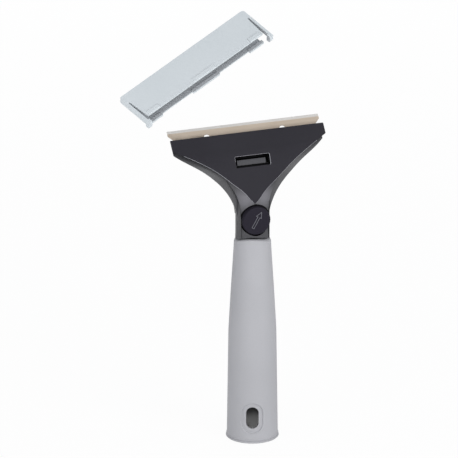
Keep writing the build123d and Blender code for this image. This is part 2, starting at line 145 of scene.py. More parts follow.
def moulded_grain() -> bpy.types.NodeTree:
    """Fine grain of a moulded skin over slow patches of tone.

    The tone mixes a slow noise with a fine one, and the height is the fine noise alone.

    Returns:
        The node group, with Tone and Height.
    """
    if "moulded_grain" in bpy.data.node_groups:
        return bpy.data.node_groups["moulded_grain"]
    group = Group("moulded_grain")
    group.takes("Vector", "NodeSocketVector")
    group.takes("Fine Scale", "NodeSocketFloat", 2200.0)
    group.takes("Patch Scale", "NodeSocketFloat", 30.0)
    group.gives("Tone", "NodeSocketFloat")
    group.gives("Height", "NodeSocketFloat")
    fine = group.noise(group.entry.outputs["Vector"], detail=3.0, roughness=0.6)
    slow = group.noise(group.entry.outputs["Vector"], detail=2.0, roughness=0.5)
    group.link(group.entry.outputs["Fine Scale"], fine.inputs["Scale"])
    group.link(group.entry.outputs["Patch Scale"], slow.inputs["Scale"])
    tone = group.mixed(slow.outputs["Fac"], fine.outputs["Fac"], share=0.45)
    group.link(tone, group.result.inputs["Tone"])
    group.link(fine.outputs["Fac"], group.result.inputs["Height"])
    return group.tree


def drawn_lines() -> bpy.types.NodeTree:
    """Fine lines that a grinding belt or a die leaves, along one direction.

    The vector is squeezed along the direction of the lines, so that the noise draws out into streaks.

    Returns:
        The node group, with Tone and Height.
    """
    if "drawn_lines" in bpy.data.node_groups:
        return bpy.data.node_groups["drawn_lines"]
    group = Group("drawn_lines")
    group.takes("Vector", "NodeSocketVector")
    group.takes("Squeeze", "NodeSocketVector", (0.02, 1.0, 1.0))
    group.takes("Line Scale", "NodeSocketFloat", 1500.0)
    group.takes("Cloud Scale", "NodeSocketFloat", 60.0)
    group.gives("Tone", "NodeSocketFloat")
    group.gives("Height", "NodeSocketFloat")
    squeeze = group.nodes.new("ShaderNodeVectorMath")
    squeeze.operation = "MULTIPLY"
    group.link(group.entry.outputs["Vector"], squeeze.inputs[0])
    group.link(group.entry.outputs["Squeeze"], squeeze.inputs[1])
    lines = group.noise(squeeze.outputs["Vector"], detail=4.0, roughness=0.65)
    cloud = group.noise(group.entry.outputs["Vector"], detail=2.0, roughness=0.5)
    group.link(group.entry.outputs["Line Scale"], lines.inputs["Scale"])
    group.link(group.entry.outputs["Cloud Scale"], cloud.inputs["Scale"])
    tone = group.mixed(lines.outputs["Fac"], cloud.outputs["Fac"], share=0.4)
    group.link(tone, group.result.inputs["Tone"])
    group.link(lines.outputs["Fac"], group.result.inputs["Height"])
    return group.tree


@dataclass(frozen=True)
class MouldedFinish:
    """A moulded plastic or rubber skin with a fine grain.

    The painted light is a lighter tone painted near a point, given in millimetres, that stands in for light
    falling there. A reach of zero leaves it out.
    """

    name: str
    low: tuple[float, float, float, float]
    high: tuple[float, float, float, float]
    rough_low: float = 0.42
    rough_high: float = 0.55
    fine_scale: float = 2200.0
    patch_scale: float = 30.0
    bump: float = 0.05
    bump_depth: float = 0.00005
    specular: float = 0.5
    sheen: float = 0.0
    painted_light_centre: tuple[float, float, float] = (0.0, 0.0, 0.0)
    painted_light_reach: float = 0.0
    painted_light_tone: tuple[float, float, float, float] = (1.0, 1.0, 1.0, 1.0)

    def material(self) -> bpy.types.Material:
        """Builds the finish's material once.

        Returns:
            The material.
        """
        if self.name in bpy.data.materials:
            return bpy.data.materials[self.name]
        material, tree, shader = start_material(self.name)
        grain = tree.nodes.new("ShaderNodeGroup")
        grain.node_tree = moulded_grain()
        grain.inputs["Fine Scale"].default_value = self.fine_scale
        grain.inputs["Patch Scale"].default_value = self.patch_scale
        place = tree.nodes.new("ShaderNodeTexCoord")
        tree.links.new(place.outputs["Object"], grain.inputs["Vector"])
        tone_and_bump(tree, shader, grain, self)
        shader.inputs["Specular IOR Level"].default_value = self.specular
        shader.inputs["Sheen Weight"].default_value = self.sheen
        # Painted light: a lighter tone near a point, when the finish has one.
        if self.painted_light_reach > 0.0:
            self.add_painted_light(tree, shader, place.outputs["Object"])
        return material

    def add_painted_light(self, tree: bpy.types.NodeTree, shader: bpy.types.Node, place: bpy.types.NodeSocket) -> None:
        """Paints light: blends in a lighter tone near a point and its mirror image across the middle plane.

        The share of the painted light falls from one to none as the distance grows to its reach.

        Args:
            tree: the material's nodes.
            shader: its Principled shader.
            place: the object coordinates.
        """
        mirrored = tree.nodes.new("ShaderNodeVectorMath")
        mirrored.operation = "ABSOLUTE"
        tree.links.new(place, mirrored.inputs[0])
        apart = tree.nodes.new("ShaderNodeVectorMath")
        apart.operation = "DISTANCE"
        apart.inputs[1].default_value = tuple(abs(value) * MM for value in self.painted_light_centre)
        tree.links.new(mirrored.outputs["Vector"], apart.inputs[0])
        fall = tree.nodes.new("ShaderNodeMapRange")
        fall.interpolation_type = "SMOOTHSTEP"
        fall.inputs["From Max"].default_value = self.painted_light_reach * MM
        fall.inputs["To Min"].default_value = 1.0
        fall.inputs["To Max"].default_value = 0.0
        tree.links.new(apart.outputs["Value"], fall.inputs["Value"])
        blend = tree.nodes.new("ShaderNodeMix")
        blend.data_type = "RGBA"
        blend.inputs["B"].default_value = self.painted_light_tone
        tree.links.new(fall.outputs["Result"], blend.inputs["Factor"])
        tree.links.new(shader.inputs["Base Color"].links[0].from_socket, blend.inputs["A"])
        tree.links.new(blend.outputs["Result"], shader.inputs["Base Color"])


@dataclass(frozen=True)
class MetalFinish:
    """Bare metal with fine drawn or ground lines."""

    name: str
    low: tuple[float, float, float, float]
    high: tuple[float, float, float, float]
    squeeze: tuple[float, float, float] = (0.02, 1.0, 1.0)
    metallic: float = 1.0
    rough_low: float = 0.28
    rough_high: float = 0.42
    line_scale: float = 1500.0
    bump: float = 0.08
    bump_depth: float = 0.00003
    specular: float = 0.5

    def material(self) -> bpy.types.Material:
        """Builds the finish's material once.

        Returns:
            The material.
        """
        if self.name in bpy.data.materials:
            return bpy.data.materials[self.name]
        material, tree, shader = start_material(self.name)
        lines = tree.nodes.new("ShaderNodeGroup")
        lines.node_tree = drawn_lines()
        lines.inputs["Squeeze"].default_value = self.squeeze
        lines.inputs["Line Scale"].default_value = self.line_scale
        place = tree.nodes.new("ShaderNodeTexCoord")
        tree.links.new(place.outputs["Object"], lines.inputs["Vector"])
        tone_and_bump(tree, shader, lines, self)
        shader.inputs["Metallic"].default_value = self.metallic
        shader.inputs["Specular IOR Level"].default_value = self.specular
        return material


def start_material(name: str) -> tuple[bpy.types.Material, bpy.types.NodeTree, bpy.types.Node]:
    """Starts a node material.

    Args:
        name: the material's name.

    Returns:
        The material, its node tree and its Principled shader.
    """
    material = bpy.data.materials.new(name)
    material.use_nodes = True
    tree = material.node_tree
    return material, tree, tree.nodes["Principled BSDF"]


def tone_and_bump(
    tree: bpy.types.NodeTree,
    shader: bpy.types.Node,
    effect: bpy.types.Node,
    finish: MouldedFinish | MetalFinish,
    tone_from: float = 0.3,
    tone_to: float = 0.7,
) -> None:
    """Joins an effect's Tone and Height to the shader's colour, roughness and normal.

    Args:
        tree: the material's nodes.
        shader: its Principled shader.
        effect: the group node with Tone and Height.
        finish: the finish, with a colour and a roughness for a low and for a high tone.
        tone_from: the tone that counts as low.
        tone_to: the tone that counts as high.
    """
    spread = tree.nodes.new("ShaderNodeMapRange")
    spread.inputs["From Min"].default_value = tone_from
    spread.inputs["From Max"].default_value = tone_to
    tree.links.new(effect.outputs["Tone"], spread.inputs["Value"])
    blend = tree.nodes.new("ShaderNodeMix")
    blend.data_type = "RGBA"
    blend.inputs["A"].default_value = finish.low
    blend.inputs["B"].default_value = finish.high
    tree.links.new(spread.outputs["Result"], blend.inputs["Factor"])
    tree.links.new(blend.outputs["Result"], shader.inputs["Base Color"])
    rub = tree.nodes.new("ShaderNodeMapRange")
    rub.inputs["To Min"].default_value = finish.rough_low
    rub.inputs["To Max"].default_value = finish.rough_high
    tree.links.new(spread.outputs["Result"], rub.inputs["Value"])
    tree.links.new(rub.outputs["Result"], shader.inputs["Roughness"])
    relief = tree.nodes.new("ShaderNodeBump")
    relief.inputs["Strength"].default_value = finish.bump
    relief.inputs["Distance"].default_value = finish.bump_depth
    tree.links.new(effect.outputs["Height"], relief.inputs["Height"])
    tree.links.new(relief.outputs["Normal"], shader.inputs["Normal"])


class Finish(Enum):
    """The finishes of the scraper."""

    HEAD = MouldedFinish("satin_head", linear(58, 58, 61), linear(68, 68, 71), 0.4, 0.5, specular=0.5)
    PLATE = MouldedFinish("matt_plate", linear(46, 45, 50), linear(52, 51, 56), 0.6, 0.7, specular=0.04)
    # The lobes' lighter tone near the V's apex is a painted highlight.
    LOBES = MouldedFinish("satin_lobe_painted_highlight", linear(66, 66, 69), linear(72, 72, 75), 0.45, 0.55, specular=0.25,
                          painted_light_centre=(6.0, -5.5, 159.5), painted_light_reach=11.5, painted_light_tone=linear(112, 111, 116))
    FLANK = MouldedFinish("satin_flank", linear(68, 68, 72), linear(78, 78, 82), 0.36, 0.46, specular=0.7)
    KNOB = MouldedFinish("matt_knob", linear(37, 35, 43), linear(43, 41, 49), 0.6, 0.7, specular=0.04)
    # Near-black painted shade for the knob's recess, the window and the pocket behind it.
    DARK_SHADE = MouldedFinish("painted_recess_shade", linear(8, 8, 10), linear(12, 12, 14), 0.6, 0.7, specular=0.1)
    LUG = MouldedFinish("satin_lug", linear(56, 56, 61), linear(66, 66, 71), 0.4, 0.5, specular=0.3)
    # A pale tone for the rounding along the V face's edges: a painted highlight.
    EDGE = MouldedFinish("painted_edge_highlight", linear(130, 130, 136), linear(150, 150, 156), 0.4, 0.5)
    PAINT = MouldedFinish("pointer_paint", linear(96, 96, 102), linear(112, 112, 118), 0.5, 0.6, specular=0.2)
    SLEEVE = MouldedFinish("soft_sleeve", linear(166, 166, 170), linear(174, 174, 178), 0.62, 0.75,
                           fine_scale=1700.0, bump=0.12, specular=0.25, sheen=0.05)
    # The near-white tone low in the bore, near the open end, is painted light that comes in at the open end.
    CORE = MouldedFinish("moulded_core_painted_light", linear(24, 25, 27), linear(32, 33, 35), 0.16, 0.22, specular=0.9,
                         painted_light_centre=(3.5, 10.0, 1.0), painted_light_reach=14.0, painted_light_tone=linear(250, 250, 250))
    COVER = MouldedFinish("silver_shell", linear(201, 208, 212), linear(208, 214, 218), 0.32, 0.44,
                          fine_scale=3200.0, bump=0.04, specular=0.4)
    # A darker copy of the cover's silver for faces that look inwards: painted shade.
    COVER_SHADE = MouldedFinish("channel_silver_painted_shade", linear(172, 176, 180), linear(182, 186, 190), 0.5, 0.6,
                             specular=0.2)
    WASHER = MouldedFinish("pale_washer", linear(196, 194, 186), linear(206, 204, 196), 0.4, 0.5)
    BLADE = MetalFinish("ground_steel", linear(180, 166, 150), linear(194, 181, 166), metallic=0.1,
                        rough_low=0.5, rough_high=0.65, specular=0.12)
    BEVEL = MetalFinish("ground_edge", linear(198, 195, 191), linear(209, 206, 203), metallic=0.1,
                        rough_low=0.4, rough_high=0.5, line_scale=2600.0, specular=0.3)
    STEEL = MetalFinish("turned_steel", linear(180, 180, 182), linear(200, 200, 202), (1.0, 0.02, 1.0))
    BRASS = MetalFinish("turned_brass", linear(196, 160, 92), linear(212, 178, 108), (1.0, 0.02, 1.0))

    def material(self) -> bpy.types.Material:
        """The finish's material."""
        return self.value.material()


def new_piece(name: str, mesh: bpy.types.Mesh, body: str, *finishes: Finish) -> bpy.types.Object:
    """Links a mesh into the scene as a piece of the object.

    Args:
        name: the piece's name.
        mesh: its mesh, in place.
        body: the body that it rides on.
        finishes: its finishes, in the order of its material slots.

    Returns:
        The piece.
    """
    piece = bpy.data.objects.new(name, mesh)
    bpy.context.scene.collection.objects.link(piece)
    mesh.materials.clear()
    for finish in finishes:
        mesh.materials.append(finish.material())
    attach(piece, body)
    LOG.info("%s: %d faces, rides on %s", name, len(mesh.polygons), body)
    return piece


def repaint(node: str, finish: Finish) -> None:
    """Gives a CAD node's slots a finish.

    Args:
        node: the CAD node.
        finish: the finish that its solid gets.
    """
    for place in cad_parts[node].material_slots:
        place.material = finish.material()
    LOG.info("%s: keeps its solid, in %s", node, finish.value.name)


def merged_copy(node: str, name: str) -> bpy.types.Mesh:
    """Copies a CAD node's mesh, joins its loose triangles and clears flat seams.

    Args:
        node: the CAD node.
        name: the new mesh's name.

    Returns:
        The copy, with its place in its mesh.
    """
    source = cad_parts[node]
    mesh = source.data.copy()
    mesh.name = name
    mesh.transform(source.matrix_world)
    work = bmesh.new()
    work.from_mesh(mesh)
    bmesh.ops.remove_doubles(work, verts=work.verts, dist=SAME_CORNER)
    bmesh.ops.dissolve_limit(
        work, angle_limit=math.radians(FLAT_ANGLE), verts=work.verts, edges=work.edges
    )
    work.to_mesh(mesh)
    work.free()
    if mesh.has_custom_normals:
        bpy.context.view_layer.update()
        mesh.attributes.remove(mesh.attributes["custom_normal"])
    return mesh


def smooth(mesh: bpy.types.Mesh, angle: float) -> None:
    """Shades a mesh smooth, apart from edges sharper than an angle in degrees."""
    mesh.polygons.foreach_set("use_smooth", np.ones(len(mesh.polygons), dtype=bool))
    mesh.set_sharp_from_angle(angle=math.radians(angle))


def face_values(mesh: bpy.types.Mesh, name: str) -> np.ndarray:
    """Reads a vector of every face.

    Args:
        mesh: the mesh.
        name: center or normal.

    Returns:
        The vectors as rows; centres are in metres.
    """
    values = np.empty(len(mesh.polygons) * 3)
    mesh.polygons.foreach_get(name, values)
    return values.reshape(-1, 3)


def between(values: np.ndarray, low: float, high: float) -> np.ndarray:
    """Which values lie between two limits."""
    return (values > low) & (values < high)


def face_reach(mesh: bpy.types.Mesh) -> np.ndarray:
    """How far each face's corners reach to either side of the middle plane.

    Args:
        mesh: the mesh.

    Returns:
        The farthest corner's distance for each face, in millimetres.
    """
    places = np.empty(len(mesh.vertices) * 3)
    mesh.vertices.foreach_get("co", places)
    corners = np.empty(len(mesh.loops), dtype=np.int32)
    mesh.loops.foreach_get("vertex_index", corners)
    starts = np.empty(len(mesh.polygons), dtype=np.int32)
    mesh.polygons.foreach_get("loop_start", starts)
    return np.maximum.reduceat(np.abs(places[::3][corners]), starts) / MM


def soften(piece: bpy.types.Object, width: float, angle: float, segments: int = 2, strip: int = -1) -> None:
    """Rounds a piece's sharp edges and smooths its curved faces.

    Args:
        piece: the piece.
        width: how far the rounding reaches from the edge, in metres.
        angle: edges sharper than this are rounded, in degrees.
        segments: faces across the rounding.
        strip: material slot of the rounding, or -1 for that of the faces beside it.
    """
    smooth(piece.data, angle)
    bevel = piece.modifiers.new("edge_round", "BEVEL")
    bevel.width = width
    bevel.segments = segments
    bevel.limit_method = "ANGLE"
    bevel.angle_limit = math.radians(angle)
    bevel.use_clamp_overlap = True
    bevel.harden_normals = True
    bevel.miter_outer = "MITER_ARC"
    bevel.material = strip


class Surface:
    """Points and four-sided faces that are worked out as whole arrays, in millimetres."""

    def __init__(self) -> None:
        """Starts with nothing."""
        self.points: list[np.ndarray] = []
        self.quads: list[np.ndarray] = []
        self.count = 0

    def place(self, points: np.ndarray) -> np.ndarray:
        """Adds an array of points.

        Args:
            points: places, with x, y, z along the last axis.

        Returns:
            The points' numbers, in the array's shape.
        """
        numbers = self.count + np.arange(points[..., 0].size).reshape(points.shape[:-1])
        self.points.append(points.reshape(-1, 3))
        self.count += numbers.size
        return numbers

    def skin(self, numbers: np.ndarray, rows_close: bool = False, columns_close: bool = False,
             keep: np.ndarray | None = None) -> None:
        """Lays a face between each two neighbouring rows and columns of a grid of points.

        Args:
            numbers: the grid's point numbers.
            rows_close: whether the last row meets the first.
            columns_close: whether the last column meets the first.
            keep: which faces are kept, as a grid of true and false.
        """
        if rows_close:
            numbers = np.vstack([numbers, numbers[:1]])
        if columns_close:
            numbers = np.hstack([numbers, numbers[:, :1]])
        quads = np.stack([numbers[:-1, :-1], numbers[:-1, 1:], numbers[1:, 1:], numbers[1:, :-1]], axis=-1)
        self.quads.append(quads[keep] if keep is not None else quads.reshape(-1, 4))

    def mesh(self, name: str) -> bpy.types.Mesh:
        """Makes the mesh, with seams and poles joined and its faces turned outwards.

        Args:
            name: the mesh's name.

        Returns:
            The mesh, in metres.
        """
        used, quads = np.unique(np.vstack(self.quads), return_inverse=True)
        mesh = bpy.data.meshes.new(name)
        places = np.vstack(self.points)[used] * MM
        mesh.from_pydata(places.tolist(), [], quads.reshape(-1, 4).tolist())
        work = bmesh.new()
        work.from_mesh(mesh)
        bmesh.ops.remove_doubles(work, verts=work.verts, dist=SAME_POLE)
        bmesh.ops.recalc_face_normals(work, faces=work.faces)
        work.to_mesh(mesh)
        work.free()
        return mesh


@dataclass
class FacePlane:
    """The bent front face of the head, in the side view, in millimetres."""

    foot_depth: float = -5.3
    foot_height: float = 155.5
    lean: float = 5.0
    bend: float = 40.0
    bend_rise: float = 26.2
    radius: float = 32.0

    def offset(self, points: np.ndarray) -> np.ndarray:
        """How far points lie behind the face.

        The face is a straight lean, an arc of one radius and a straight slope, so the distance is
        taken from the lean below the arc, from the slope above it, and from the arc between them.

        Args:
            points: places as rows of x, y, z in millimetres.

        Returns:
            The distance behind the face of each point, in millimetres.
        """
        low, high = math.radians(self.lean), math.radians(self.bend)
        corner_depth = self.foot_depth + self.bend_rise * math.tan(low)
        corner = np.array([corner_depth, self.foot_height + self.bend_rise])
        reach = self.radius * math.tan((high - low) / 2)
        start = corner - reach * np.array([math.sin(low), math.cos(low)])
        centre = start + self.radius * np.array([math.cos(low), -math.sin(low)])
        place = points[:, 1:3] - corner
        before = place @ np.array([math.cos(low), -math.sin(low)])
        after = place @ np.array([math.cos(high), -math.sin(high)])
        arm = points[:, 1:3] - centre
        turn = np.arctan2(arm[:, 1], -arm[:, 0])
        arc = self.radius - np.linalg.norm(arm, axis=1)
        return np.where(turn < low, before, np.where(turn > high, after, arc))


@dataclass
class GripSkin:
    """The soft skin of the grip, in millimetres.

    A side line is carried round the axis. The line is three tapers whose corners are eased by
    parabolas, with a bead at its foot and a rounded rim; the rim is lifted to an arch. In front,
    the columns run straight up, and a block of them gives way to rings that blend from the block's
    square border to a slot with round ends, where the surface is dished and turned in to the bore.

    The fields radii and heights give the line's ends and corners. The dish's reach and the ring
    steps are counted outwards from the slot's edge, and lip_drops says how far that edge and the
    ring next to it sink.
    """

    radii: tuple[float, ...] = (16.0, 15.0, 11.85, 11.57)
    heights: tuple[float, ...] = (2.6, 71.48, 127.47, 133.7)
    blend: float = 150.0
    wall: float = 2.2
    foot_radius: float = 16.15
    foot_inset: float = 0.5
    foot_step: float = 1.0
    bead_from: float = 0.3
    bead_centre: tuple[float, float] = (14.455, 1.045)
    bead_radius: float = 2.192
    rim_round: float = 0.9
    arch_radius: float = 20.97
    arch_from: float = 100.0
    turn: float = 20.0
    block_half: float = 8.4
    block_low: float = 4.7
    block_high: float = 28.3
    slot_half: float = 3.9
    slot_straight: float = 3.2
    slot_height: float = 16.5
    dish_reach: float = 3.0
    dish_blend: float = 0.5
    dish_depth: float = 1.0
    lip_drops: tuple[float, float] = (0.3, 0.08)
    ring_steps: tuple[float, ...] = (0.0, 0.12, 0.3, 0.9, 1.6, 2.2, 2.45, 2.6, 2.75, 2.9, 3.05, 3.5)
    groove_height: float = 1.4
    groove_half: float = 0.4
    groove_depth: float = 0.75
    front_columns: int = 26
    back_columns: int = 78
    bead_rows: int = 24
    block_rows: int = 31
    side_rows: int = 84
    rim_rows: int = 7
    inner_rows: int = 40
    far_rings: int = 6
    wall_rings: int = 4

    def line(self, height: np.ndarray) -> np.ndarray:
        """Outer radius at some heights.

        Straight between the corners. Near a corner, within w = blend times half the change of slope,
        the line gains the change of slope times the square of the way past (corner - w), over 4 w.

        Args:
            height: heights above the open end.

        Returns:
            The radius at each height.
        """
        radius = np.interp(height, self.heights, self.radii)
        slopes = np.diff(self.radii) / np.diff(self.heights)
        for corner, change in zip(self.heights[1:-1], np.diff(slopes)):
            width = self.blend * abs(change) / 2
            way = np.clip(height - corner + width, 0.0, 2 * width)
            straight = np.clip(height - corner, 0.0, width)
            radius = radius + np.where(way < 2 * width, change * (way**2 / (4 * width) - straight), 0.0)
        return radius

    def profile(self) -> tuple[np.ndarray, np.ndarray]:
        """Closed side line, from the foot up the outside, over the rim and down the inside.

        Returns:
            The radii and the heights of its points.
        """
        foot, top = self.heights[0], self.heights[-1]
        shoulder = top - self.rim_round
        bead = np.linspace(self.bead_from, foot, self.bead_rows, endpoint=False)
        groove = self.groove_depth * np.exp(-(((bead - self.groove_height) / self.groove_half) ** 2))
        block = np.linspace(self.block_low, self.block_high, self.block_rows)
        side = np.linspace(self.block_high, shoulder, self.side_rows)
        up = np.concatenate([[foot, foot + self.foot_step], block[:-1], side])
        bend = np.linspace(0.0, math.pi / 2, self.rim_rows)[1:]
        rim = float(self.line(np.array([shoulder]))[0])
        inner_top = rim - self.wall
        inner_side = np.linspace(top, self.block_high, self.inner_rows)
        down = np.concatenate([inner_side, block[::-1][1:], [foot, 0.0]])
        radii = np.concatenate([
            [self.foot_radius - self.foot_inset, self.foot_radius],
            self.bead_centre[0] + np.sqrt(self.bead_radius**2 - (bead - self.bead_centre[1]) ** 2) - groove,
            self.line(up),
            rim - self.rim_round * (1 - np.cos(bend)),
            [(rim - self.rim_round + inner_top) / 2],
            np.minimum(self.line(down) - self.wall, self.radii[0] - self.wall),
        ])
        rounded = shoulder + self.rim_round * np.sin(bend)
        heights = np.concatenate([[0.0, 0.0], bead, up, rounded, [top], down])
        return radii, heights

    def lifted(self, across: np.ndarray, height: np.ndarray) -> np.ndarray:
        """Heights with the rim lifted to its arch.

        The rim's arch is a circle across the grip. Above arch_from, heights are stretched in
        proportion, so that the plain rim lands on the circle.

        Args:
            across: distance across the grip.
            height: plain heights.

        Returns:
            The lifted heights.
        """
        top = self.heights[-1]
        rim = top - self.arch_radius + np.sqrt(self.arch_radius**2 - across**2)
        share = np.clip((height - self.arch_from) / (top - self.arch_from), 0.0, None)
        return height + share * (rim - top)

    def turned(self, across: np.ndarray, depth: np.ndarray, height: np.ndarray) -> np.ndarray:
        """Points turned about the axis to the grip's own direction.

        Args:
            across: distance across the grip.
            depth: distance behind the axis.
            height: height above the open end.

        Returns:
            The points, with x, y, z along a last axis.
        """
        cosine, sine = math.cos(math.radians(self.turn)), math.sin(math.radians(self.turn))
        return np.stack([across * cosine + depth * sine, depth * cosine - across * sine, height], axis=-1)

    def mesh(self) -> bpy.types.Mesh:
        """Works out the skin.

        Returns:
            Its closed mesh.
        """
        surface = Surface()
        radii, heights = self.profile()
        front = np.linspace(-self.block_half, self.block_half, self.front_columns + 1)
        radius, across = np.meshgrid(radii, front, indexing="ij")
        height = np.repeat(heights[:, None], len(front), axis=1)
        front_part = self.turned(across, -np.sqrt(radius**2 - across**2), self.lifted(across, height))
        share = np.linspace(0.0, 1.0, self.back_columns + 1)[1:-1]
        edge = np.arcsin(self.block_half / radii)[:, None]
        angle = edge + share[None, :] * (2 * math.pi - 2 * edge)
        across = radii[:, None] * np.sin(angle)
        height = np.repeat(heights[:, None], len(share), axis=1)
        back_part = self.turned(across, -radii[:, None] * np.cos(angle), self.lifted(across, height))
        grid = surface.place(np.concatenate([front_part, back_part], axis=1))

        lows = np.flatnonzero(np.isclose(heights, self.block_low))
        highs = np.flatnonzero(np.isclose(heights, self.block_high))
        row = np.arange(len(heights))[:, None]
        column = np.arange(grid.shape[1])[None, :]
        outer = (row >= lows[0]) & (row < highs[0])
        inner = (row >= highs[-1]) & (row < lows[-1])
        keep = ~((outer | inner) & (column < self.front_columns))
        surface.skin(grid, rows_close=True, columns_close=True, keep=keep)
        outside = self.border(grid[lows[0]:highs[0] + 1, : self.front_columns + 1])
        inside = self.border(grid[highs[-1]:lows[-1] + 1, : self.front_columns + 1][::-1])
        self.slot(surface, outside, inside)
        return surface.mesh("grip_skin")

    def border(self, block: np.ndarray) -> np.ndarray:
        """Point numbers round a block of the grid."""
        return np.concatenate([block[0, :-1], block[:-1, -1], block[-1, :0:-1], block[:0:-1, 0]])

    def slot(self, surface: Surface, outside: np.ndarray, inside: np.ndarray) -> None:
        """Fills the block with rings that lead to the slot, through the wall and out inside.

        A ring's points lie between the block's border and the slot's edge. The slot's edge is at one
        distance from a short upright line, so each border point has its edge point on the ray from the
        nearest point of that line.

        Args:
            surface: the surface under construction.
            outside: point numbers round the outer block.
            inside: point numbers round the inner block.
        """
        columns = np.linspace(-self.block_half, self.block_half, self.front_columns + 1)
        rows = np.linspace(self.block_low, self.block_high, self.block_rows) - self.slot_height
        across = self.border(np.tile(columns, (len(rows), 1)))
        height = self.border(np.tile(rows[:, None], (1, len(columns))))
        middle = np.clip(height, -self.slot_straight, self.slot_straight)
        reach = np.hypot(across, height - middle)
        way_across, way_up = across / reach, (height - middle) / reach

        fine = np.array(self.ring_steps)
        far = np.linspace(0.0, 1.0, self.far_rings)[1:-1]
        start = self.slot_half + fine[-1]
        steps = np.concatenate([
            self.slot_half + np.repeat(fine[:, None], len(reach), axis=1),
            start + far[:, None] * (reach[None, :] - start),
        ])
        x = steps * way_across
        z = middle + steps * way_up + self.slot_height
        plain = -np.sqrt(self.line(z) ** 2 - x**2)
        past = steps - self.slot_half
        ease = np.clip((self.dish_reach - past) / self.dish_blend, 0.0, 1.0)
        depth = plain + self.dish_depth * ease * ease * (3 - 2 * ease)
        depth[:2] += np.array(self.lip_drops)[:, None]
        rings = surface.place(self.turned(x, depth, z))
        surface.skin(np.vstack([rings, outside]), columns_close=True)

        bore = -np.sqrt((self.line(z[0]) - self.wall) ** 2 - x[0] ** 2)
        share = np.linspace(0.0, 1.0, self.wall_rings + 1)[1:, None]
        every = (self.wall_rings, 1)
        wall = surface.place(self.turned(
            np.tile(x[0], every), depth[0] + share * (bore - depth[0]), np.tile(z[0], every)
        ))
        surface.skin(np.vstack([rings[:1], wall]), columns_close=True)

        share = np.linspace(0.0, 1.0, self.far_rings)[1:-1, None]
        steps = self.slot_half + share * (reach - self.slot_half)
        x = steps * way_across
        z = middle + steps * way_up + self.slot_height
        radius = np.minimum(self.line(z), self.radii[0]) - self.wall
        backs = surface.place(self.turned(x, -np.sqrt(radius**2 - x**2), z))
        surface.skin(np.vstack([wall[-1:], backs, inside]), columns_close=True)


@dataclass
class Handle:
    """The grip: a soft skin over a stiff tube, with a cross pin."""

    def build(self) -> None:
        """Lays the skin and finishes the inner pieces."""
        skin = new_piece("grip_skin", GripSkin().mesh(), "handle", Finish.SLEEVE)
        smooth(skin.data, SKIN_ANGLE)
        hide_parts("grip_sleeve")
        repaint("handle_core", Finish.CORE)
        repaint("tang_pin", Finish.STEEL)


